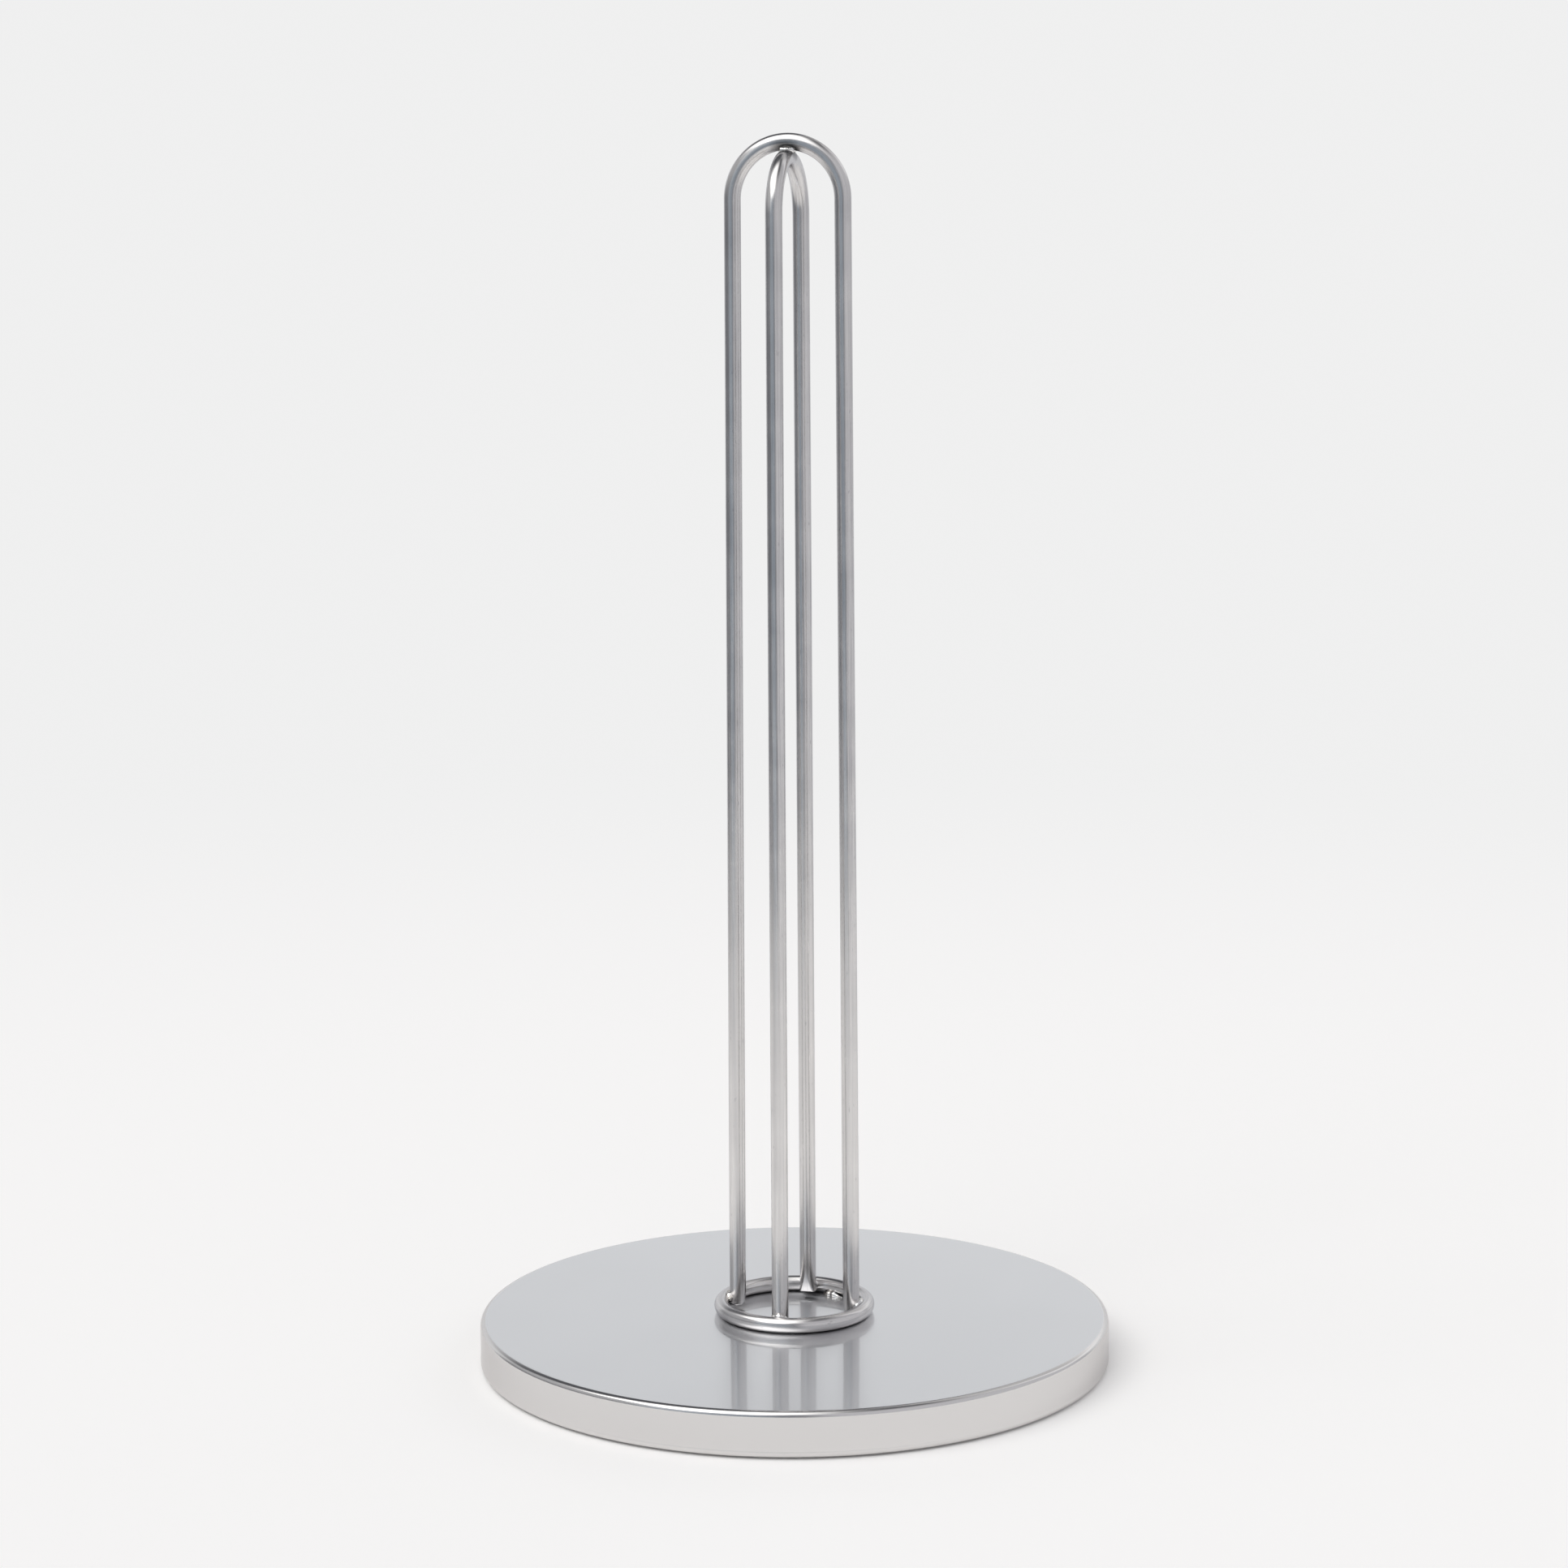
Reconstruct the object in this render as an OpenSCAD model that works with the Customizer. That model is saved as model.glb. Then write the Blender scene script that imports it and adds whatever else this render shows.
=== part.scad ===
// Free-standing paper towel holder. A drawn steel cover with a ballast disc inside makes the
// base. Two bent wires cross at the top, stand on a wire ring, and hold the roll upright.
// Millimetres, +Z up. The origin is at the middle of the pad's underside, on the table.
// The upper arch lies in the XZ plane and the lower one in the YZ plane.

/* [Base] */
// Diameter of the round base
base_d = 165; // [140:1:200]
// Height of the cover, from its foot edge to its flat top
cover_h = 11.6; // [10:0.1:16]
// Thickness of the cover's sheet steel
sheet_t = 0.6; // [0.4:0.1:0.8]
// Outside radius of the cover's top edge
top_edge_r = 1.2; // [1:0.1:3]
// Outside radius of the cover's foot edge
foot_edge_r = 1.2; // [1:0.1:2]
// Width of the lip that is turned in under the cover
lip_w = 3; // [2.5:0.5:6]
// Thickness of the ballast disc
ballast_t = 6; // [3:0.5:7]
// Thickness of the closing plate that rests on the lip
closing_plate_t = 0.8; // [0.5:0.1:1.2]
// Height that the pad stands proud of the foot edge
pad_proud = 0.5; // [0.3:0.1:1.5]

/* [Foot ring] */
// Diameter of the ring's centre line
ring_d = 38.3; // [36:0.1:40]
// Diameter of the ring's wire
ring_wire_d = 3.8; // [3.2:0.1:4.2]
// Gap between the ring and the top of the base, bridged by the tack welds
ring_gap = 0.3; // [0.1:0.1:0.5]

/* [Wire arches] */
// Height of the whole holder
overall_h = 317.5; // [250:0.5:360]
// Diameter of the arches' wire
wire_d = 4.3; // [4:0.1:4.6]
// Centre-line radius of the bend at the top of each arch
bend_r = 14.3; // [12:0.1:15.4]
// Depth that the wires sink into each other where they are welded
weld_sink = 0.25; // [0.1:0.05:0.25]
// Height of the legs' cut ends above the top of the base
leg_lift = 1.2; // [0.6:0.1:1.6]

/* [Welds] */
// Diameter of the bead on the outer side of each leg
leg_weld_d = 2.4; // [1.8:0.1:3]
// Diameter of the bead where the arches cross
crown_weld_d = 4.4; // [3.6:0.1:5]
// Thickness of the tack bead between the ring and the base
tack_d = 2; // [1.6:0.1:2.4]
// Angle between the three lumps of one tack weld
tack_pitch = 5; // [3:0.5:6]
// Direction of the rear tack weld, counted from +X
tack_angle = 69; // [50:1:75]

/* [Hidden] */
$fn = 96;
clearance = 0.2;
overcut = 1;
// Turns the start line of round surfaces away from the planes where they are cut
seam_turn = 45;
// Sweep of half a bend, which runs past the crown before it is cut there
bend_sweep = 100;
// Distance of a leg bead's middle from the ring's centre line, towards the leg
leg_weld_inset = ring_wire_d / 4;
// Height of a tack lump's middle above the top of the base
tack_rise = tack_d / 5;
steel = [0.76, 0.76, 0.77];
weld_steel = [0.86, 0.86, 0.85];

base_r = base_d / 2;
base_top = pad_proud + cover_h;
lip_top = pad_proud + sheet_t;
ring_r = ring_d / 2;
ring_z = base_top + ring_gap + ring_wire_d / 2;
leg_end_z = base_top + leg_lift;
leg_foot_r = ring_r - (ring_wire_d + wire_d) / 2 + weld_sink;
upper_crown_z = overall_h - wire_d / 2;
lower_crown_z = upper_crown_z - wire_d + weld_sink;
crown_contact_z = (upper_crown_z + lower_crown_z) / 2;

// Half section of a disc whose rim is rounded at its top and foot edges
module disc_section(r, h, top_r, foot_r) {
    square([r - foot_r, h / 2]);
    translate([0, h / 2]) square([r - top_r, h / 2]);
    translate([0, foot_r]) square([r, h - top_r - foot_r]);
    translate([r - top_r, h - top_r]) circle(top_r);
    translate([r - foot_r, foot_r]) circle(foot_r);
}

// The closed ring of wire that the legs are welded into
module ring_wire() {
    translate([0, 0, ring_z])
        rotate([0, 0, seam_turn])
            rotate_extrude()
                translate([ring_r, 0]) circle(d = ring_wire_d);
}

// Height of the centre of the bend in the arch whose crown is at crown_z
function bend_z(crown_z) = crown_z - bend_r;

// Drop from the centre of the bend to the legs' cut ends
function drop(crown_z) = bend_z(crown_z) - leg_end_z;

// Distance from the centre of the bend to the middle of a cut end
function reach(crown_z) = norm([leg_foot_r, drop(crown_z)]);

// Angle at which the legs lean out towards their feet, tangent to the bend
function lean(crown_z) = acos(bend_r / reach(crown_z)) - atan2(drop(crown_z), leg_foot_r);

// The straight wire of a leg, hanging from the end of its bend
module straight_wire(crown_z) {
    leg_len = sqrt(pow(reach(crown_z), 2) - pow(bend_r, 2));
    translate([bend_r, 0, -leg_len]) cylinder(h = leg_len, d = wire_d);
}

// Leans its children outwards about the centre of the bend
module leaned(crown_z) {
    translate([0, 0, bend_z(crown_z)])
        rotate([0, -lean(crown_z), 0]) children();
}

// The half of an arch on the +X side, cut off at the crown
module half_arch(crown_z) {
    intersection() {
        leaned(crown_z) {
            straight_wire(crown_z);
            rotate([90, 0, 0])
                rotate_extrude(angle = bend_sweep)
                    translate([bend_r, 0]) circle(d = wire_d);
        }
        translate([0, -base_r, 0]) cube([base_r, base_d, overall_h + overcut]);
    }
}

// One wire bent into an arch in the XZ plane
module arch_wire(crown_z) {
    half_arch(crown_z);
    mirror([1, 0, 0]) half_arch(crown_z);
}

module upper_wire() {
    arch_wire(upper_crown_z);
}

module lower_wire() {
    rotate([0, 0, 90]) arch_wire(lower_crown_z);
}

// Drawn cover of sheet steel, with a lip turned in under it
module base_cover() {
    color(steel)
        translate([0, 0, pad_proud])
            rotate_extrude()
                difference() {
                    disc_section(base_r, cover_h, top_edge_r, foot_edge_r);
                    translate([0, sheet_t])
                        disc_section(base_r - sheet_t, cover_h - 2 * sheet_t,
                                     top_edge_r - sheet_t, foot_edge_r - sheet_t);
                    translate([0, -overcut])
                        square([base_r - lip_w, 2 * overcut]);
                }
}

// Heavy disc glued under the top of the cover
module ballast_disc() {
    color("dimgray")
        translate([0, 0, base_top - sheet_t - ballast_t])
            cylinder(h = ballast_t, r = base_r - top_edge_r - clearance);
}

// Thin plate that closes the underside and rests on the lip
module closing_plate() {
    color("darkgray")
        translate([0, 0, lip_top])
            cylinder(h = closing_plate_t, r = base_r - foot_edge_r - clearance);
}

// Non-slip sheet glued to the closing plate, inside the lip
module non_slip_pad() {
    color("black")
        cylinder(h = lip_top, r = base_r - lip_w - 2 * clearance);
}

module foot_ring() {
    color(steel) ring_wire();
}

// The wire that passes over the other one at the crown
module upper_arch() {
    color(steel) upper_wire();
}

// The wire whose crown is welded up against the other one
module lower_arch() {
    color(steel) lower_wire();
}

// The bend of an arch carried on to a whole circle, in the XZ plane
module whole_bend(crown_z) {
    translate([0, 0, bend_z(crown_z)])
        rotate([90, 0, 0])
            rotate_extrude()
                translate([bend_r, 0]) rotate([0, 0, seam_turn]) circle(d = wire_d);
}

// Bead in the corners where the two arches cross
module crown_weld() {
    color(weld_steel)
        difference() {
            translate([0, 0, crown_contact_z]) sphere(d = crown_weld_d);
            whole_bend(upper_crown_z);
            rotate([0, 0, 90]) whole_bend(lower_crown_z);
        }
}

// Bead in the groove between the outer side of a leg and the top of the ring
module leg_weld(direction, crown_z) {
    color(weld_steel)
        rotate([0, 0, direction])
            difference() {
                translate([ring_r - leg_weld_inset, 0, ring_z + ring_wire_d / 2])
                    rotate([0, 0, seam_turn]) sphere(d = leg_weld_d);
                leaned(crown_z) straight_wire(crown_z);
                ring_wire();
            }
}

// Three lumps run together along the ring's inner side, which hold it to the top of the base
module ring_tack(direction) {
    bead_r = ring_r - ring_wire_d / 2;
    color(weld_steel)
        difference() {
            for (lump = [-1:1])
                rotate([0, 0, direction + lump * tack_pitch])
                    translate([bead_r, 0, base_top + tack_rise])
                        sphere(d = tack_d);
            ring_wire();
            translate([0, 0, base_top - tack_d])
                cylinder(h = tack_d, r = ring_d);
        }
}

base_cover();
ballast_disc();
closing_plate();
non_slip_pad();
foot_ring();
upper_arch();
lower_arch();
crown_weld();
leg_weld(0, upper_crown_z);  // leg_weld_right
leg_weld(90, lower_crown_z);  // leg_weld_back
leg_weld(180, upper_crown_z);  // leg_weld_left
leg_weld(270, lower_crown_z);  // leg_weld_front
ring_tack(tack_angle);  // ring_tack_back
ring_tack(tack_angle + 180);  // ring_tack_front
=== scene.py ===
"""Paper towel holder: finished meshes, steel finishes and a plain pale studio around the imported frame.

Metres, +Z up, in the frame of the CAD part. The camera looks almost along +Y, so that the upper arch's
legs stand left and right and the lower arch's legs stand in front and behind.
"""

import math

import bmesh
import bpy
from mathutils import Matrix, Vector, noise


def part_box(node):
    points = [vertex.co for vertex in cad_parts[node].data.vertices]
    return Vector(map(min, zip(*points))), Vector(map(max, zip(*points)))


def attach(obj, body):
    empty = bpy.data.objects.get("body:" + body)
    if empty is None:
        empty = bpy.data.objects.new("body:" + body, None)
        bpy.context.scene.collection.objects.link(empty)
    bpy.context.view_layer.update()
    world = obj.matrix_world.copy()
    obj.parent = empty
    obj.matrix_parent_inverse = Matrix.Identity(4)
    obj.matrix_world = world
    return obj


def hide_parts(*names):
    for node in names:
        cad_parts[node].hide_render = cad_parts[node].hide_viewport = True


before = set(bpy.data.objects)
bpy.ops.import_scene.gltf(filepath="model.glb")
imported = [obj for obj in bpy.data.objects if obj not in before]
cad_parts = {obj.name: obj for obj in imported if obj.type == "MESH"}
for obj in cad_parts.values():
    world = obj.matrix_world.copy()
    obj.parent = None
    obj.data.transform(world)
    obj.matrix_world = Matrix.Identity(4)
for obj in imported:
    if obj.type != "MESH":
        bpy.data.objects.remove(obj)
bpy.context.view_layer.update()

MM = 0.001

# Camera. VIEW_TURN is how far the view is turned about Z from +Y.
VIEW_TURN = math.radians(13.85)
CAMERA_DISTANCE = 0.9151
CAMERA_HEIGHT = 0.2923
CAMERA_YAW = math.radians(0.115)
CAMERA_PITCH = math.radians(8.685)
CAMERA_ROLL = math.radians(-0.38)
LENS_MM = 82.59
SENSOR_MM = 36

# Sizes of the part, read from the frame where a node's box gives them
cover_low, cover_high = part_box("base_cover")
pad_low, pad_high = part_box("non_slip_pad")
ring_low, ring_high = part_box("foot_ring")
upper_low, upper_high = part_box("upper_arch")
lower_low, lower_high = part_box("lower_arch")

BASE_R = cover_high.x
PAD_R = pad_high.x
BASE_TOP = cover_high.z
COVER_FOOT = cover_low.z
SHEET = pad_high.z - cover_low.z
LIP_W = 3 * MM
FOOT_EDGE_R = 1.2 * MM
HEM_LEDGE = 0.07 * MM
HEM_RISE = 0.7 * MM

# The cover's top edge, from level to upright: (radius, tilt where this bend ends)
TOP_EDGE_BENDS = [
    (2.0 * MM, math.radians(29)),
    (1.15 * MM, math.radians(60)),
    (1.7 * MM, math.radians(90)),
]

RING_WIRE_R = (ring_high.z - ring_low.z) / 2
RING_R = ring_high.x - RING_WIRE_R
RING_Z = (ring_high.z + ring_low.z) / 2

WIRE_R = upper_high.y
LEG_END_Z = upper_low.z
LEG_FOOT_R = upper_high.x - WIRE_R
BEND_R = 14.3 * MM
UPPER_CROWN_Z = upper_high.z - WIRE_R
LOWER_CROWN_Z = lower_high.z - WIRE_R
CROSSING_Z = (UPPER_CROWN_Z + LOWER_CROWN_Z) / 2

# Pressed leg ends: the inner face is flattened over PRESS_LENGTH, the sides spread by FLARE, and the
# cut has a bevel that goes in by BEVEL_DEPTH for each unit of END_BEVEL
PRESS_LENGTH = 5.5 * MM
PRESS_DEPTH = 0.7 * MM
FLARE = 0.22 * MM
END_BEVEL = 0.25 * MM
BEVEL_DEPTH = 0.9

# Where each leg stands, in degrees from +X
LEGS = [("right", 0), ("back", 90), ("left", 180), ("front", 270)]

# Points around a wire's section
AROUND = 56


# ---------------------------------------------------------------- shader helpers

def node(tree, kind, links=None, **settings):
    """Adds a shader node. links gives each named or numbered input a value or another node's output."""
    made = tree.nodes.new(kind)
    for name, value in settings.items():
        setattr(made, name, value)
    for name, value in (links or {}).items():
        if isinstance(value, bpy.types.NodeSocket):
            tree.links.new(value, made.inputs[name])
        else:
            made.inputs[name].default_value = value
    return made


def remap(tree, value, low, high, to_low, to_high, smooth=False):
    """Maps value from low..high to to_low..to_high, held at both ends."""
    kind = "SMOOTHSTEP" if smooth else "LINEAR"
    ends = {"Value": value, "From Min": low, "From Max": high, "To Min": to_low, "To Max": to_high}
    return node(tree, "ShaderNodeMapRange", ends, interpolation_type=kind).outputs["Result"]


def math_node(tree, operation, first, second):
    """A math operation on two numbers or sockets."""
    return node(tree, "ShaderNodeMath", {0: first, 1: second}, operation=operation).outputs[0]


def window(tree, value, low, high, soft):
    """1 where value lies between low and high, falling softly to 0 around both of them."""
    above = remap(tree, value, low - soft, low + soft, 0, 1, smooth=True)
    below = remap(tree, value, high - soft, high + soft, 1, 0, smooth=True)
    return math_node(tree, "MULTIPLY", above, below)


def weighted(tree, first, first_share, second, second_share):
    """The sum of two sockets, each times its share."""
    return math_node(tree, "ADD", math_node(tree, "MULTIPLY", first, first_share),
                     math_node(tree, "MULTIPLY", second, second_share))


def noise_field(tree, vector, scale, detail=3.0, roughness=0.5):
    """Noise from 0 to 1 over a vector, at scale waves a metre."""
    settings = {"Vector": vector, "Scale": scale, "Detail": detail, "Roughness": roughness}
    return node(tree, "ShaderNodeTexNoise", settings).outputs["Fac"]


def stretched(tree, vector, factors):
    """vector with each of its axes multiplied by a factor."""
    settings = {0: vector, 1: factors}
    return node(tree, "ShaderNodeVectorMath", settings, operation="MULTIPLY").outputs["Vector"]


def blend_colours(tree, factor, dark, light):
    """A colour between dark and light, by factor."""
    ramp = node(tree, "ShaderNodeValToRGB", {"Fac": factor})
    ramp.color_ramp.elements[0].color = (*dark, 1)
    ramp.color_ramp.elements[1].color = (*light, 1)
    return ramp.outputs["Color"]


def tinted(tree, colour, strength):
    """A colour times a strength."""
    settings = {0: colour, "Scale": strength}
    return node(tree, "ShaderNodeVectorMath", settings, operation="SCALE").outputs["Vector"]


def bumped(tree, height, strength, distance, normal=None):
    """A normal tilted by a height field. distance is the field's full height in metres."""
    settings = {"Height": height, "Strength": strength, "Distance": distance}
    if normal is not None:
        settings["Normal"] = normal
    return node(tree, "ShaderNodeBump", settings).outputs["Normal"]


def blank_material(name):
    """A new material with one Principled shader. Returns the material, its node tree and the shader."""
    material = bpy.data.materials.new(name)
    material.use_nodes = True
    tree = material.node_tree
    tree.nodes.clear()
    shader = tree.nodes.new("ShaderNodeBsdfPrincipled")
    output = tree.nodes.new("ShaderNodeOutputMaterial")
    tree.links.new(shader.outputs["BSDF"], output.inputs["Surface"])
    return material, tree, shader


def plug(tree, shader, **inputs):
    """Sets or links a shader's inputs. An underscore in a name stands for a space."""
    for name, value in inputs.items():
        socket = shader.inputs[name.replace("_", " ")]
        if isinstance(value, bpy.types.NodeSocket):
            tree.links.new(value, socket)
        else:
            socket.default_value = value


def object_place(tree):
    """Where a point is on the object, in metres."""
    return node(tree, "ShaderNodeTexCoord").outputs["Object"]


# ---------------------------------------------------------------- materials

def top_steel():
    """Top of the base: milky satin steel under a sharp sheen, with a faint cloudy tone."""
    material, tree, shader = blank_material("satin_top_steel")
    place = object_place(tree)
    cloud = noise_field(tree, place, 28, detail=4)
    grain = noise_field(tree, place, 5200, detail=2)
    colour = blend_colours(tree, cloud, (0.655, 0.659, 0.677), (0.683, 0.687, 0.705))
    rough = remap(tree, cloud, 0.35, 0.65, 0.29, 0.31)
    fine = bumped(tree, grain, 0.10, 0.004 * MM)
    plug(tree, shader, Base_Color=colour, Metallic=1.0, Roughness=rough, Normal=fine,
         Coat_Weight=1.0, Coat_Roughness=0.05, Coat_IOR=1.72)
    return material


def edge_steel():
    """Edge and wall of the base: smoother and warmer than the top, and duller at a grazing look."""
    material, tree, shader = blank_material("smooth_edge_steel")
    place = object_place(tree)
    cloud = noise_field(tree, place, 28, detail=4)
    turned = noise_field(tree, stretched(tree, place, (1, 1, 14)), 260, detail=3)
    colour = blend_colours(tree, cloud, (0.700, 0.686, 0.679), (0.724, 0.710, 0.702))
    rough = remap(tree, turned, 0.3, 0.7, 0.15, 0.20)
    plug(tree, shader, Base_Color=colour, Metallic=1.0, Roughness=rough,
         Specular_Tint=(0.80, 0.79, 0.79, 1))
    return material


def wire_steel():
    """Drawn stainless wire: streaks, slow changes of tone, nicks, and painted shade around the crossing
    of the two arches at the crown weld.
    """
    material, tree, shader = blank_material("drawn_wire_steel")
    place = node(tree, "ShaderNodeAttribute", attribute_name="wire_place").outputs["Vector"]
    streak_place = stretched(tree, place, (1, 1, 0.012))
    broad = noise_field(tree, streak_place, 950, detail=3)
    fine = noise_field(tree, streak_place, 3600, detail=3, roughness=0.6)
    cloud = noise_field(tree, place, 90, detail=4)
    nick = noise_field(tree, stretched(tree, place, (1, 1, 0.35)), 1500, detail=1)
    tone = weighted(tree, broad, 0.5, fine, 0.5)
    shade = weighted(tree, tone, 0.75, cloud, 0.25)
    pits = remap(tree, nick, 0.72, 0.77, 0, 1)
    marked = math_node(tree, "SUBTRACT", remap(tree, shade, 0.38, 0.62, 0, 1), pits)
    clean = blend_colours(tree, marked, (0.575, 0.564, 0.563), (0.785, 0.768, 0.754))
    # Painted shade: within a few mm of the arches' crossing the wire's colour is darkened down to a
    # fifth. This stands in for the shade and dark reflection around the crown weld.
    flattening = 1.5
    flat_place = stretched(tree, object_place(tree), (1, 1, flattening))
    crossing = {0: flat_place, 1: (0, 0, CROSSING_Z * flattening)}
    distance = node(tree, "ShaderNodeVectorMath", crossing, operation="DISTANCE").outputs["Value"]
    ragged = math_node(tree, "ADD", distance, remap(tree, cloud, 0.35, 0.65, -0.7 * MM, 0.7 * MM))
    painted_crossing_shade = remap(tree, ragged, 2.4 * MM, 5.4 * MM, 0.20, 1, smooth=True)
    colour = tinted(tree, clean, painted_crossing_shade)
    rough = math_node(tree, "ADD", remap(tree, fine, 0.3, 0.7, 0.17, 0.27),
                      remap(tree, cloud, 0.35, 0.65, -0.02, 0.03))
    groove = bumped(tree, broad, 0.35, 0.02 * MM)
    hair = bumped(tree, fine, 0.25, 0.006 * MM, groove)
    normal = bumped(tree, pits, -0.5, 0.03 * MM, hair)
    plug(tree, shader, Base_Color=colour, Metallic=1.0, Roughness=rough, Normal=normal,
         Specular_Tint=(0.72, 0.72, 0.74, 1))
    return material


def weld_steel():
    """Bright weld bead with ripples, small pits and a trace of straw heat tint."""
    material, tree, shader = blank_material("bright_weld_steel")
    place = object_place(tree)
    ripple = noise_field(tree, place, 1300, detail=4, roughness=0.6)
    tint = noise_field(tree, place, 420, detail=2)
    straw = remap(tree, tint, 0.35, 0.65, 0, 1)
    colour = blend_colours(tree, straw, (0.60, 0.57, 0.53), (0.80, 0.80, 0.80))
    rough = remap(tree, ripple, 0.3, 0.7, 0.10, 0.26)
    normal = bumped(tree, ripple, 0.6, 0.06 * MM)
    plug(tree, shader, Base_Color=colour, Metallic=1.0, Roughness=rough, Normal=normal)
    return material


def ballast_iron():
    """Grey cast disc with a coarse sand skin."""
    material, tree, shader = blank_material("cast_ballast_iron")
    place = object_place(tree)
    skin = noise_field(tree, place, 900, detail=5, roughness=0.6)
    colour = blend_colours(tree, skin, (0.10, 0.10, 0.10), (0.24, 0.23, 0.22))
    normal = bumped(tree, skin, 0.8, 0.15 * MM)
    rough = remap(tree, skin, 0.3, 0.7, 0.55, 0.8)
    plug(tree, shader, Base_Color=colour, Metallic=0.8, Roughness=rough, Normal=normal)
    return material


def closing_steel():
    """Plain rolled steel of the closing plate, with marks along the rolling direction."""
    material, tree, shader = blank_material("rolled_closing_steel")
    place = object_place(tree)
    rolled = noise_field(tree, stretched(tree, place, (0.05, 1, 1)), 1400, detail=4)
    colour = blend_colours(tree, rolled, (0.42, 0.42, 0.43), (0.55, 0.55, 0.55))
    rough = remap(tree, rolled, 0.3, 0.7, 0.32, 0.48)
    normal = bumped(tree, rolled, 0.3, 0.02 * MM)
    plug(tree, shader, Base_Color=colour, Metallic=1.0, Roughness=rough, Normal=normal)
    return material


def pad_foam():
    """Dark closed-cell foam sheet with a fine pebbled skin."""
    material, tree, shader = blank_material("dark_foam_sheet")
    place = object_place(tree)
    cells = node(tree, "ShaderNodeTexVoronoi", {"Vector": place, "Scale": 1100.0}, feature="F1")
    cloud = noise_field(tree, place, 60, detail=4)
    colour = blend_colours(tree, cloud, (0.020, 0.020, 0.021), (0.040, 0.040, 0.041))
    normal = bumped(tree, cells.outputs["Distance"], 0.6, 0.12 * MM)
    rough = remap(tree, cloud, 0.3, 0.7, 0.72, 0.88)
    plug(tree, shader, Base_Color=colour, Roughness=rough, Normal=normal, Specular_IOR_Level=0.35)
    return material


# ---------------------------------------------------------------- mesh helpers

def piece(name, mesh, material, slot_name, *nodes):
    """Makes an object of a mesh, gives it its finish, and lets it stand for CAD nodes on root."""
    made = bpy.data.objects.new(name, mesh)
    bpy.context.scene.collection.objects.link(made)
    mesh.materials.append(material)
    for face in mesh.polygons:
        face.use_smooth = True
    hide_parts(*nodes)
    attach(made, "root")
    return made


def arc(centre, radius, start, end, steps):
    """Points of an arc in a plane, from angle start to angle end."""
    turn = (end - start) / steps
    angles = [start + turn * step for step in range(steps + 1)]
    return [(centre[0] + radius * math.cos(a), centre[1] + radius * math.sin(a)) for a in angles]


def bent_edge(bends, steps):
    """Points of an edge bent down from level at (0, 0) through arcs of (radius, tilt at the end)."""
    across, down, tilt = 0.0, 0.0, 0.0
    points = [(across, down)]
    for radius, end in bends:
        for step in range(1, steps + 1):
            now = tilt + (end - tilt) * step / steps
            points.append((across + radius * (math.sin(now) - math.sin(tilt)),
                           down - radius * (math.cos(tilt) - math.cos(now))))
        across, down = points[-1]
        tilt = end
    return points


def closed_lathe(name, profile, segments):
    """Turns a profile of (radius, height) points about Z. Only its two ends are on the axis."""
    bm = bmesh.new()
    rings = []
    for radius, height in profile:
        if radius == 0:
            rings.append([bm.verts.new((0, 0, height))])
            continue
        turns = [2 * math.pi * step / segments for step in range(segments)]
        rings.append([bm.verts.new((radius * math.cos(t), radius * math.sin(t), height)) for t in turns])
    for first, second in zip(rings, rings[1:]):
        for step in range(segments):
            after = (step + 1) % segments
            if len(first) == 1:
                bm.faces.new((first[0], second[step], second[after]))
            elif len(second) == 1:
                bm.faces.new((first[step], second[0], first[after]))
            else:
                bm.faces.new((first[step], second[step], second[after], first[after]))
    bmesh.ops.recalc_face_normals(bm, faces=bm.faces)
    mesh = bpy.data.meshes.new(name)
    bm.to_mesh(mesh)
    bm.free()
    return mesh


def tube(name, sections, places, closed):
    """Skins rings of points into a tube, with flat ends if it isn't closed. places become wire_place."""
    bm = bmesh.new()
    layer = bm.verts.layers.float_vector.new("wire_place")
    rings = []
    for section, section_places in zip(sections, places):
        ring = []
        for point, place in zip(section, section_places):
            vert = bm.verts.new(point)
            vert[layer] = place
            ring.append(vert)
        rings.append(ring)
    pairs = list(zip(rings, rings[1:]))
    if closed:
        pairs.append((rings[-1], rings[0]))
    count = len(rings[0])
    for first, second in pairs:
        for step in range(count):
            after = (step + 1) % count
            bm.faces.new((first[step], first[after], second[after], second[step]))
    if not closed:
        for ring in (rings[0], rings[-1]):
            bm.faces.new(ring)
    bmesh.ops.recalc_face_normals(bm, faces=bm.faces)
    mesh = bpy.data.meshes.new(name)
    bm.to_mesh(mesh)
    bm.free()
    return mesh


# ---------------------------------------------------------------- base

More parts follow.
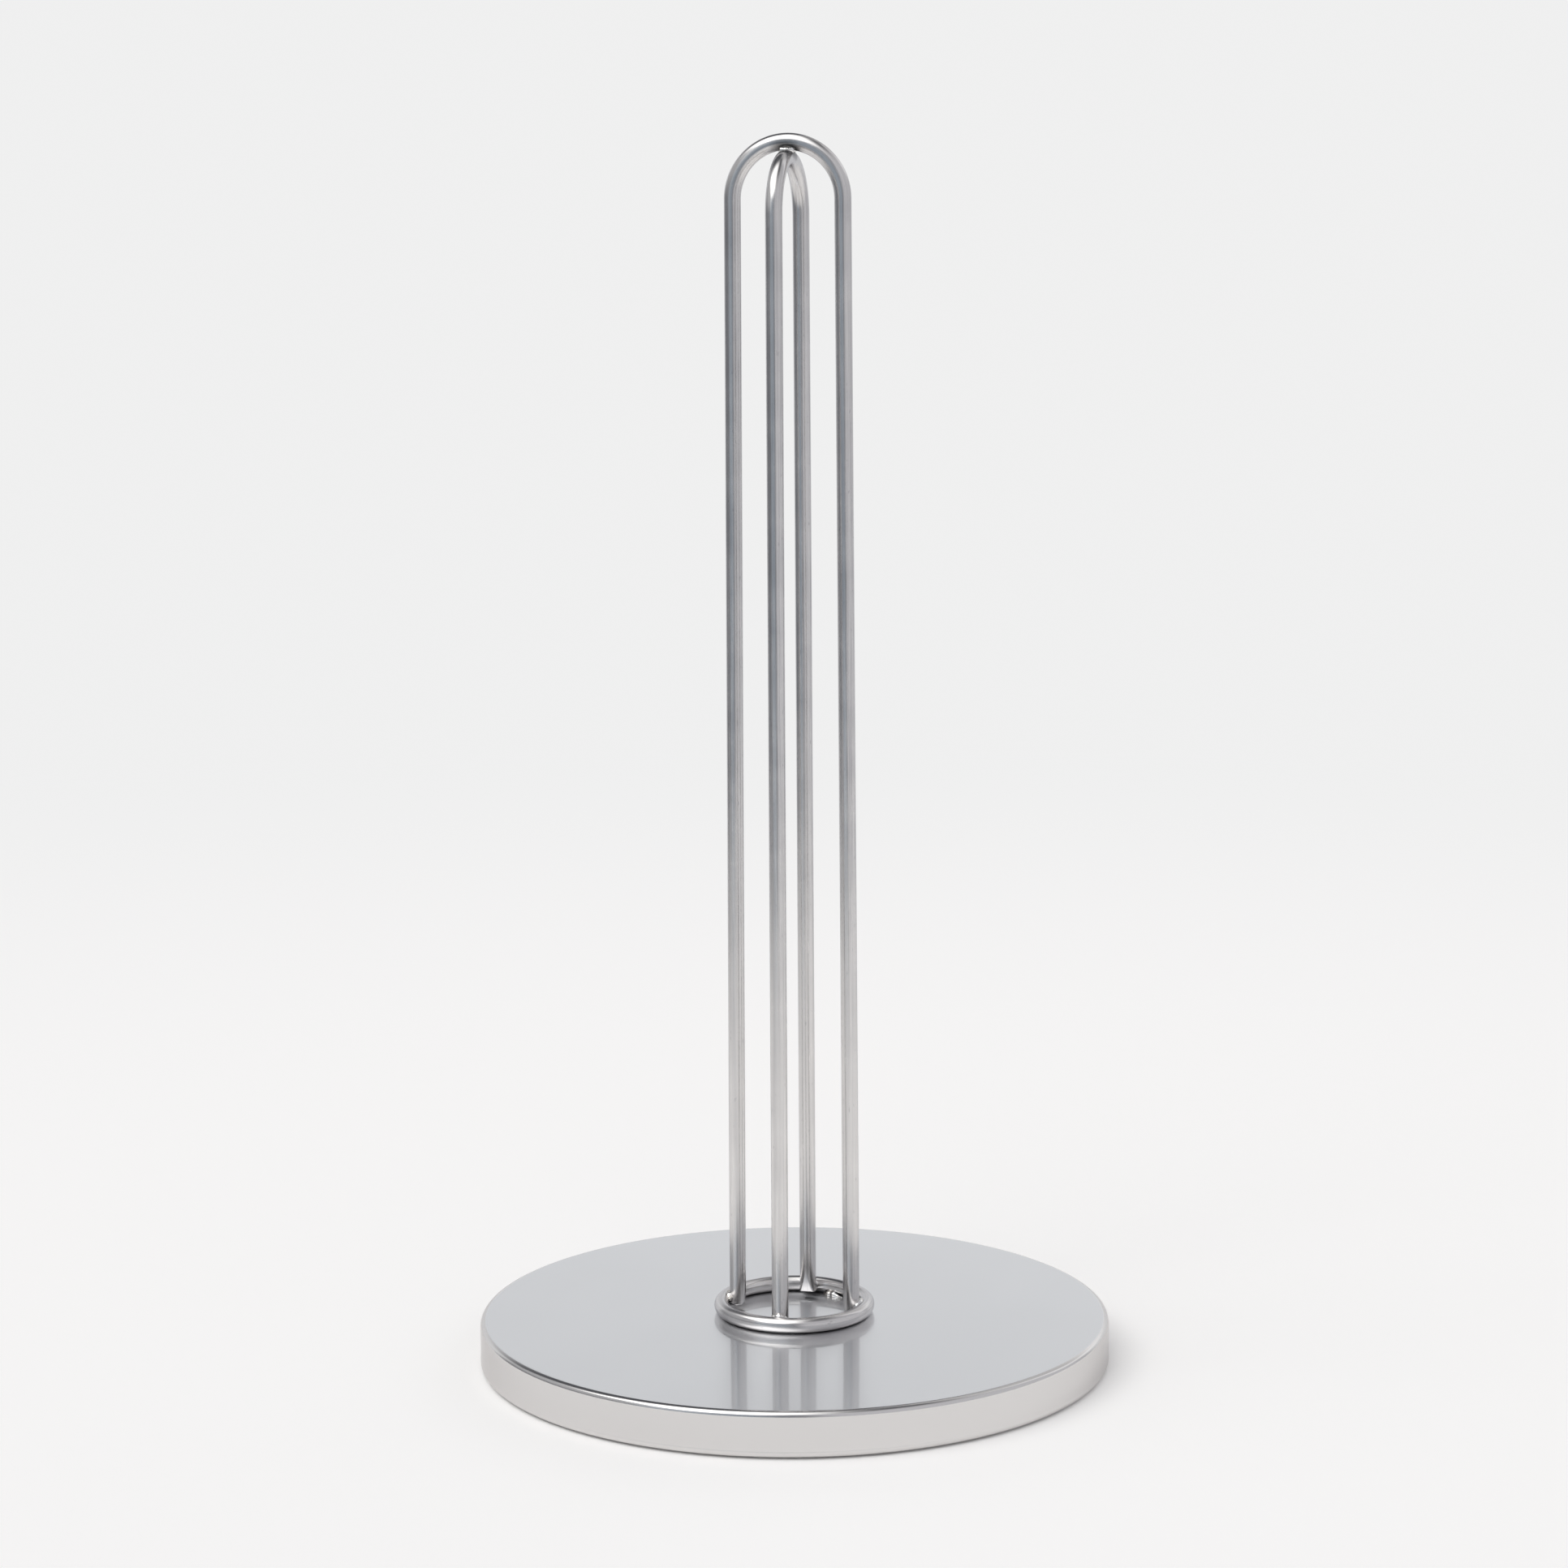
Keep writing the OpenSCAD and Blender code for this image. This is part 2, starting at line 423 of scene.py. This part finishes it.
def cover_profile():
    """Profile of the drawn cover: top, rounded edge, wall, hem, foot edge, lip, and back inside."""
    quarter = math.pi / 2
    rings_on_top = 36
    support = 0.25 * MM
    wall_r = BASE_R - HEM_LEDGE
    inner_r = BASE_R - SHEET
    edge = bent_edge(TOP_EDGE_BENDS, 9)
    edge_width, edge_drop = edge[-1]
    flat_r = wall_r - edge_width
    support_r = flat_r - support
    top = [(support_r * step / rings_on_top, BASE_TOP) for step in range(rings_on_top + 1)]
    top_edge = [(flat_r + across, BASE_TOP + down) for across, down in edge]
    wall_top = BASE_TOP + edge_drop - support
    hem_top = COVER_FOOT + FOOT_EDGE_R + HEM_RISE
    wall_steps = 8
    wall_drop = hem_top - wall_top
    wall = [(wall_r, wall_top + wall_drop * step / wall_steps) for step in range(wall_steps + 1)]
    hem_steps = 6
    hem = []
    for step in range(1, hem_steps):
        share = step / hem_steps
        swell = HEM_LEDGE * (3 - 2 * share) * share ** 2
        hem.append((wall_r + swell, hem_top - HEM_RISE * share))
    foot_centre = (BASE_R - FOOT_EDGE_R, COVER_FOOT + FOOT_EDGE_R)
    foot_edge = arc(foot_centre, FOOT_EDGE_R, 0, -quarter, 10)
    lip_edge = arc((BASE_R - LIP_W, COVER_FOOT + SHEET / 2), SHEET / 2, -quarter, -3 * quarter, 8)
    inner_foot = arc(foot_centre, FOOT_EDGE_R - SHEET, -quarter, 0, 6)
    inside = [(inner_r, BASE_TOP / 2)]
    inner_top = [(flat_r + across - SHEET, BASE_TOP - SHEET + down) for across, down in reversed(edge)]
    outer_skin = top + top_edge + wall + hem + foot_edge
    inner_skin = inner_foot + inside + inner_top + [(0, BASE_TOP - SHEET)]
    return outer_skin + lip_edge + inner_skin


def build_cover(top_material, edge_material):
    """The drawn cover. Its top is not perfectly flat: shallow waves bend the reflections a little."""
    mesh = closed_lathe("base_cover_drawn", cover_profile(), 360)
    wave_depth = 0.012 * MM
    waves_per_metre = 26
    flat_z = BASE_TOP - 0.001 * MM
    for vert in mesh.vertices:
        if vert.co.z > flat_z:
            wave = noise.noise(Vector((vert.co.x, vert.co.y, 0)) * waves_per_metre)
            vert.co.z -= wave_depth * (1 + wave) / 2
    cover = piece("base_cover_drawn", mesh, top_material, "satin_steel", "base_cover")
    mesh.materials.append(edge_material)
    edge_z = BASE_TOP - 2 * wave_depth
    for face in mesh.polygons:
        if face.center.z < edge_z:
            face.material_index = 1
    return cover


def build_pad(material):
    """The foam sheet under the base, with a soft rim."""
    rim = 0.3 * MM
    quarter = math.pi / 2
    height = pad_high.z - pad_low.z
    under = [(PAD_R * step / 12, pad_low.z) for step in range(12)]
    low_rim = arc((PAD_R - rim, pad_low.z + rim), rim, -quarter, 0, 5)
    top = [(PAD_R, pad_low.z + height), (0, pad_low.z + height)]
    mesh = closed_lathe("pad_foam_sheet", under + low_rim + top, 256)
    return piece("pad_foam_sheet", mesh, material, "foot_rubber", "non_slip_pad")


# ---------------------------------------------------------------- wires

def ring_sections():
    """Sections and surface places of the foot ring. Its underside is drawn down to rest on the plate."""
    sections, places = [], []
    seat = (RING_Z - BASE_TOP) / RING_WIRE_R
    steps = 288
    for step in range(steps):
        turn = 2 * math.pi * step / steps
        out = Vector((math.cos(turn), math.sin(turn), 0))
        section, section_places = [], []
        for part in range(AROUND):
            angle = 2 * math.pi * part / AROUND
            across = RING_WIRE_R * math.cos(angle)
            up = RING_WIRE_R * math.sin(angle)
            seated = up * seat if up < 0 else up
            section.append(out * (RING_R + across) + Vector((0, 0, RING_Z + seated)))
            along = RING_R * math.sin(turn / 2) * 2
            section_places.append(Vector((across, up, along)))
        sections.append(section)
        places.append(section_places)
    return sections, places


def build_ring(material):
    """The closed ring of wire that the legs stand in."""
    sections, places = ring_sections()
    mesh = tube("foot_ring_wire", sections, places, closed=True)
    return piece("foot_ring_wire", mesh, material, "wire_steel", "foot_ring")


def half_arch_line(crown_z):
    """Centre line of half an arch, from cut end to crown: (out, up, tilt of the normal, length)."""
    bend_z = crown_z - BEND_R
    drop = bend_z - LEG_END_Z
    reach = math.hypot(LEG_FOOT_R, drop)
    lean = math.acos(BEND_R / reach) - math.atan2(drop, LEG_FOOT_R)
    leg = math.sqrt(reach ** 2 - BEND_R ** 2)
    top_out = BEND_R * math.cos(lean)
    top_up = bend_z + BEND_R * math.sin(lean)
    fine_end = 7 * MM
    lengths = [fine_end * step / 28 for step in range(28)]
    lengths += [fine_end + (leg - fine_end) * step / 48 for step in range(49)]
    line = []
    for length in lengths:
        back = leg - length
        line.append((top_out + back * math.sin(lean), top_up - back * math.cos(lean), lean, length))
    bend_steps = 48
    sweep = math.pi / 2 - lean
    for step in range(1, bend_steps + 1):
        angle = lean + sweep * step / bend_steps
        length = leg + BEND_R * (angle - lean)
        line.append((BEND_R * math.cos(angle), bend_z + BEND_R * math.sin(angle), angle, length))
    return line


def leg_radius_point(angle, length):
    """Offsets (outwards, sideways) of a point of a leg's section, with its pressed flat near the end."""
    outwards = WIRE_R * math.cos(angle)
    sideways = WIRE_R * math.sin(angle)
    press = max(0.0, 1 - length / PRESS_LENGTH) ** 2
    flat = -(WIRE_R - PRESS_DEPTH * press)
    if outwards < flat:
        outwards = flat
    sideways *= 1 + FLARE / WIRE_R * press
    if length < END_BEVEL:
        shrink = 1 - (END_BEVEL - length) / WIRE_R * BEVEL_DEPTH
        outwards *= shrink
        sideways *= shrink
    return outwards, sideways


def arch_sections(crown_z, turn):
    """Sections and surface places of a whole arch whose plane is turned about Z."""
    half = half_arch_line(crown_z)
    whole = [(1, *entry) for entry in half] + [(-1, *entry) for entry in reversed(half[:-1])]
    middle = half[-1][3]
    spin = Matrix.Rotation(turn, 3, "Z")
    sections, places = [], []
    for side, out, up, angle, length in whole:
        normal = Vector((side * math.cos(angle), 0, math.sin(angle)))
        centre = Vector((side * out, 0, up))
        section, section_places = [], []
        for part in range(AROUND):
            around = 2 * math.pi * part / AROUND
            outwards, sideways = leg_radius_point(around, length)
            section.append(spin @ (centre + normal * outwards + Vector((0, sideways, 0))))
            along = length if side > 0 else 2 * middle - length
            section_places.append(Vector((WIRE_R * math.cos(around), WIRE_R * math.sin(around), along)))
        sections.append(section)
        places.append(section_places)
    return sections, places


def build_arch(name, crown_z, turn, material, cad_node):
    """One wire bent into an upside-down U, in a plane turned about Z."""
    sections, places = arch_sections(crown_z, turn)
    mesh = tube(name, sections, places, closed=False)
    return piece(name, mesh, material, "wire_steel", cad_node)


# ---------------------------------------------------------------- welds

def bead_mesh(name, lumps, seed):
    """Melts overlapping round lumps (centre, radius) into one skin with a slightly uneven surface."""
    bm = bmesh.new()
    for centre, radius in lumps:
        bmesh.ops.create_icosphere(bm, subdivisions=3, radius=radius, matrix=Matrix.Translation(centre))
    rough_mesh = bpy.data.meshes.new(name + "_lumps")
    bm.to_mesh(rough_mesh)
    bm.free()
    maker = bpy.data.objects.new(name + "_lumps", rough_mesh)
    bpy.context.scene.collection.objects.link(maker)
    remesh = maker.modifiers.new("skin", "REMESH")
    remesh.mode = "VOXEL"
    remesh.voxel_size = 0.08 * MM
    smooth = maker.modifiers.new("melt", "SMOOTH")
    smooth.factor = 0.5
    smooth.iterations = 12
    graph = bpy.context.evaluated_depsgraph_get()
    mesh = bpy.data.meshes.new_from_object(maker.evaluated_get(graph))
    mesh.name = name
    bpy.data.objects.remove(maker)
    bpy.data.meshes.remove(rough_mesh)
    shift = Vector((seed * 7.31, seed * 3.17, seed * 5.73))
    waves_per_metre = 900
    unevenness = 0.05 * MM
    normals = [vert.normal.copy() for vert in mesh.vertices]
    for vert, normal in zip(mesh.vertices, normals):
        height = noise.fractal(vert.co * waves_per_metre + shift, 1.0, 2.0, 3)
        vert.co += normal * height * unevenness
    return mesh


def on_ring(direction, along, out, up):
    """A point by the foot ring, in mm along it, outwards from its centre line and up from its middle."""
    turn = math.radians(direction) + along * MM / RING_R
    radius = RING_R + out * MM
    return Vector((radius * math.cos(turn), radius * math.sin(turn), RING_Z + up * MM))


def build_leg_weld(side, direction, seed, material):
    """A fillet in the groove between a leg's outer face and the ring, thickest in the middle, in mm."""
    name = f"leg_weld_{side}_bead"
    lump_pitch = 0.32
    lumps = []
    for step in range(-7, 8):
        along = step * lump_pitch
        swell = noise.noise(Vector((along * 1.1, seed * 3.7, 0.5)))
        radius = (0.98 - 0.20 * abs(along)) * (1 + 0.45 * swell)
        out = -1.42 - 0.12 * along ** 2
        up = 1.55 - 0.20 * along ** 2 + 0.4 * swell
        lumps.append((on_ring(direction, along, out, up), radius * MM))
    return piece(name, bead_mesh(name, lumps, seed), material, "weld_steel", f"leg_weld_{side}")


# Where the rear tack is, in degrees from +X, and its thickness in mm: (how far along the ring, radius)
TACK_TURN = 69
TACK_BEAD = [
    (-2.6, 0.30),
    (-1.9, 0.60),
    (-1.0, 0.82),
    (-0.2, 0.68),
    (0.7, 0.85),
    (1.7, 0.52),
    (2.6, 0.34),
    (4.6, 0.20),
]


def build_tack(side, direction, seed, material):
    """A tack weld run along the foot of the ring's inner side, with a thin tail."""
    name = f"ring_tack_{side}_bead"
    floor_up = (BASE_TOP - RING_Z) / MM
    ring_side = -RING_WIRE_R / MM * 0.97
    parts = 4
    lumps = []
    for (start, start_r), (end, end_r) in zip(TACK_BEAD, TACK_BEAD[1:]):
        for part in range(parts):
            share = part / parts
            along = start + (end - start) * share
            radius = start_r + (end_r - start_r) * share
            centre = on_ring(direction, -along, ring_side, floor_up + radius * 0.35)
            lumps.append((centre, radius * MM))
    return piece(name, bead_mesh(name, lumps, seed), material, "weld_steel", f"ring_tack_{side}")


def build_crown_weld(material):
    """A collar of weld around the spot where the two arches touch."""
    name = "crown_weld_bead"
    count = 20
    reach = 1.75 * MM
    collar_z = CROSSING_Z - 0.1 * MM
    lumps = [(Vector((0, 0, CROSSING_Z)), 1.5 * MM)]
    for step in range(count):
        turn = 2 * math.pi * step / count
        swell = noise.noise(Vector((math.cos(turn), math.sin(turn), 4.2)) * 2.2)
        place = Vector((reach * math.cos(turn), reach * math.sin(turn), collar_z))
        lumps.append((place, (0.72 + 0.3 * swell) * MM))
    return piece(name, bead_mesh(name, lumps, 11), material, "weld_steel", "crown_weld")


# ---------------------------------------------------------------- studio

BACKDROP = (0.868, 0.868, 0.868)
FLOOR_PAINT = (0.890, 0.879, 0.866)
FLOOR_GLOW = 0.125

# Between these distances from the holder the floor fades into the backdrop
FLOOR_NEAR = 0.25
FLOOR_FAR = 1.1


def view_direction(right, away, up):
    """A vector given as right of the view, away from the camera and up, in the part's frame."""
    return Matrix.Rotation(VIEW_TURN, 3, "Z") @ Vector((right, away, up))


def component(tree, direction, axis):
    """How far a direction goes along an axis."""
    product = node(tree, "ShaderNodeVectorMath", {0: direction, 1: axis}, operation="DOT_PRODUCT")
    return product.outputs["Value"]


def card(tree, direction, azimuth, half_width, bottom, top, soft, colour, strength):
    """Light of one big soft card at infinity, in degrees: azimuth from +X, bottom and top elevation."""
    parts = node(tree, "ShaderNodeSeparateXYZ", {0: direction})
    flat = node(tree, "ShaderNodeCombineXYZ", {0: parts.outputs[0], 1: parts.outputs[1], 2: 0.0})
    level = node(tree, "ShaderNodeVectorMath", {0: flat.outputs[0]}, operation="NORMALIZE")
    facing = (math.cos(math.radians(azimuth)), math.sin(math.radians(azimuth)), 0)
    cosine = component(tree, level.outputs["Vector"], facing)
    outer = math.cos(math.radians(min(180, half_width + soft)))
    inner = math.cos(math.radians(max(0, half_width - soft)))
    across = remap(tree, cosine, outer, inner, 0, 1, smooth=True)
    height = parts.outputs[2]
    above = remap(tree, height, math.sin(math.radians(max(-90, bottom - soft))),
                  math.sin(math.radians(bottom + soft)), 0, 1, smooth=True)
    below = remap(tree, height, math.sin(math.radians(top - soft)),
                  math.sin(math.radians(min(90, top + soft))), 1, 0, smooth=True)
    share = math_node(tree, "MULTIPLY", across, math_node(tree, "MULTIPLY", above, below))
    return tinted(tree, colour, math_node(tree, "MULTIPLY", share, strength))


# FRONT is the camera's azimuth. The cards are, in order: the bright sweep behind, a panel behind on the
# right, a faint fill in front, the wide panel on the right, and three panels on the left.
FRONT = math.degrees(VIEW_TURN) - 90
CARDS = [
    # azimuth, half width, bottom, top, softness, colour, strength
    (FRONT + 180, 50, -90, 27, 8, (0.985, 0.995, 1.0), 0.80),
    (FRONT + 142, 27, 20, 62, 6, (1.0, 0.99, 0.98), 0.50),
    (FRONT, 128, -90, 48, 8, (0.95, 0.985, 1.06), 0.12),
    (FRONT + 67, 60, -90, 62, 9, (1.0, 0.985, 1.005), 0.41),
    (FRONT - 32, 24, -90, 30, 8, (0.76, 0.98, 1.17), 0.16),
    (FRONT - 80, 48, 10, 62, 10, (1.0, 0.99, 0.97), 0.30),
    (FRONT - 34, 24, 30, 46, 5, (1.0, 0.995, 0.985), 1.0),
]
AMBIENT = (0.098, 0.101, 0.112)

# The overhead softbox, as a soft rectangle one unit above the holder: its reach to the right of the
# view and away from the camera
SOFTBOX_RIGHT = (-1.15, 0.08)
SOFTBOX_AWAY = (-1.10, 0.20)
SOFTBOX_SOFT = 0.24
SOFTBOX_COLOUR = (1.0, 0.995, 0.985)
SOFTBOX_STRENGTH = 2.1


def softbox(tree, direction):
    """Light of the one big softbox overhead, a little in front of the holder and to its left."""
    up = component(tree, direction, (0, 0, 1))
    height = math_node(tree, "MAXIMUM", up, 0.01)
    right = math_node(tree, "DIVIDE", component(tree, direction, view_direction(1, 0, 0)), height)
    away = math_node(tree, "DIVIDE", component(tree, direction, view_direction(0, 1, 0)), height)
    inside = math_node(tree, "MULTIPLY", window(tree, right, *SOFTBOX_RIGHT, SOFTBOX_SOFT),
                       window(tree, away, *SOFTBOX_AWAY, SOFTBOX_SOFT))
    share = math_node(tree, "MULTIPLY", inside, remap(tree, up, 0.05, 0.15, 0, SOFTBOX_STRENGTH))
    return tinted(tree, SOFTBOX_COLOUR, share)


def build_world():
    """The studio's light from all around. The camera itself sees a plain backdrop."""
    world = bpy.data.worlds.new("studio")
    bpy.context.scene.world = world
    world.use_nodes = True
    tree = world.node_tree
    tree.nodes.clear()
    direction = node(tree, "ShaderNodeTexCoord").outputs["Generated"]
    total = AMBIENT
    for light in [softbox(tree, direction)] + [card(tree, direction, *settings) for settings in CARDS]:
        added = node(tree, "ShaderNodeVectorMath", {0: light, 1: total}, operation="ADD")
        total = added.outputs["Vector"]
    seen = node(tree, "ShaderNodeLightPath").outputs["Is Camera Ray"]
    studio = node(tree, "ShaderNodeBackground", {"Color": total})
    plain = node(tree, "ShaderNodeBackground", {"Color": (*BACKDROP, 1)})
    both = node(tree, "ShaderNodeMixShader", {0: seen, 1: studio.outputs[0], 2: plain.outputs[0]})
    output = node(tree, "ShaderNodeOutputWorld")
    tree.links.new(both.outputs[0], output.inputs["Surface"])


def floor_material():
    """Matt pale paint with a faint glow, which fades into the backdrop and can't be seen from below. The
    glow is cut off just inside the cover's edge, which paints a dark contact shade under its foot.
    """
    material = bpy.data.materials.new("pale_floor")
    material.use_nodes = True
    tree = material.node_tree
    tree.nodes.clear()
    place = object_place(tree)
    distance = node(tree, "ShaderNodeVectorMath", {0: place}, operation="LENGTH").outputs["Value"]
    fade = remap(tree, distance, FLOOR_NEAR, FLOOR_FAR, 0, 1, smooth=True)
    seen = node(tree, "ShaderNodeLightPath").outputs["Is Camera Ray"]
    paint = node(tree, "ShaderNodeBsdfDiffuse", {"Color": (*FLOOR_PAINT, 1)})
    # Painted shade: the floor's glow falls to nothing under the cover's rim, painting the dark contact
    # line beneath the foot edge.
    glow_start = BASE_R - 2.5 * MM
    glow_full = BASE_R - 0.8 * MM
    glow_with_painted_contact_shade = remap(tree, distance, glow_start, glow_full, 0, FLOOR_GLOW)
    glow = node(tree, "ShaderNodeEmission", {"Strength": glow_with_painted_contact_shade})
    lit = node(tree, "ShaderNodeAddShader", {0: paint.outputs[0], 1: glow.outputs[0]})
    backdrop = node(tree, "ShaderNodeEmission", {"Color": (*BACKDROP, 1), "Strength": 1.0})
    clear = node(tree, "ShaderNodeBsdfTransparent")
    far = node(tree, "ShaderNodeMixShader", {0: seen, 1: clear.outputs[0], 2: backdrop.outputs[0]})
    above = node(tree, "ShaderNodeMixShader", {0: fade, 1: lit.outputs[0], 2: far.outputs[0]})
    under = node(tree, "ShaderNodeNewGeometry").outputs["Backfacing"]
    both = node(tree, "ShaderNodeMixShader", {0: under, 1: above.outputs[0], 2: clear.outputs[0]})
    output = node(tree, "ShaderNodeOutputMaterial")
    tree.links.new(both.outputs[0], output.inputs["Surface"])
    return material


def build_floor():
    """A wide flat ring that the holder stands on. Its hole is hidden by the pad."""
    bm = bmesh.new()
    segments = 128
    pad_overlap = 1 * MM
    radii = [PAD_R - pad_overlap, 0.12, 0.25, 0.6, 1.5, 6.0]
    rings = []
    for radius in radii:
        turns = [2 * math.pi * step / segments for step in range(segments)]
        rings.append([bm.verts.new((radius * math.cos(t), radius * math.sin(t), 0)) for t in turns])
    for first, second in zip(rings, rings[1:]):
        for step in range(segments):
            after = (step + 1) % segments
            bm.faces.new((first[step], second[step], second[after], first[after]))
    mesh = bpy.data.meshes.new("floor")
    bm.to_mesh(mesh)
    bm.free()
    floor = bpy.data.objects.new("floor", mesh)
    bpy.context.scene.collection.objects.link(floor)
    mesh.materials.append(floor_material())


def build_camera():
    """The camera, in front of the holder and almost as high as its crown, looking down a little."""
    data = bpy.data.cameras.new("camera")
    data.lens = LENS_MM
    data.sensor_width = SENSOR_MM
    data.clip_start = 0.05
    data.clip_end = 50
    camera = bpy.data.objects.new("camera", data)
    bpy.context.scene.collection.objects.link(camera)
    turned = Matrix.Rotation(VIEW_TURN + CAMERA_YAW, 4, "Z")
    tipped = Matrix.Rotation(math.pi / 2 - CAMERA_PITCH, 4, "X")
    rolled = Matrix.Rotation(CAMERA_ROLL, 4, "Z")
    place = view_direction(0, -CAMERA_DISTANCE, CAMERA_HEIGHT)
    camera.matrix_world = Matrix.Translation(place) @ turned @ tipped @ rolled
    bpy.context.scene.camera = camera


def build_studio():
    """Camera, light and floor, shown without a film curve."""
    build_camera()
    build_world()
    build_floor()
    bpy.context.scene.view_settings.view_transform = "Standard"


def finish_node(cad_node, material):
    """Gives a CAD node that stays in view its finish."""
    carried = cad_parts[cad_node]
    for slot in carried.material_slots:
        slot.material = material


def main():
    """Builds the studio and every piece."""
    build_studio()
    wire = wire_steel()
    weld = weld_steel()
    build_cover(top_steel(), edge_steel())
    build_pad(pad_foam())
    build_ring(wire)
    build_arch("upper_arch_wire", UPPER_CROWN_Z, 0, wire, "upper_arch")
    build_arch("lower_arch_wire", LOWER_CROWN_Z, math.pi / 2, wire, "lower_arch")
    for seed, (side, direction) in enumerate(LEGS):
        build_leg_weld(side, direction, seed + 1, weld)
    build_tack("back", TACK_TURN, 6, weld)
    build_tack("front", TACK_TURN + 180, 7, weld)
    build_crown_weld(weld)
    finish_node("ballast_disc", ballast_iron())
    finish_node("closing_plate", closing_steel())


main()
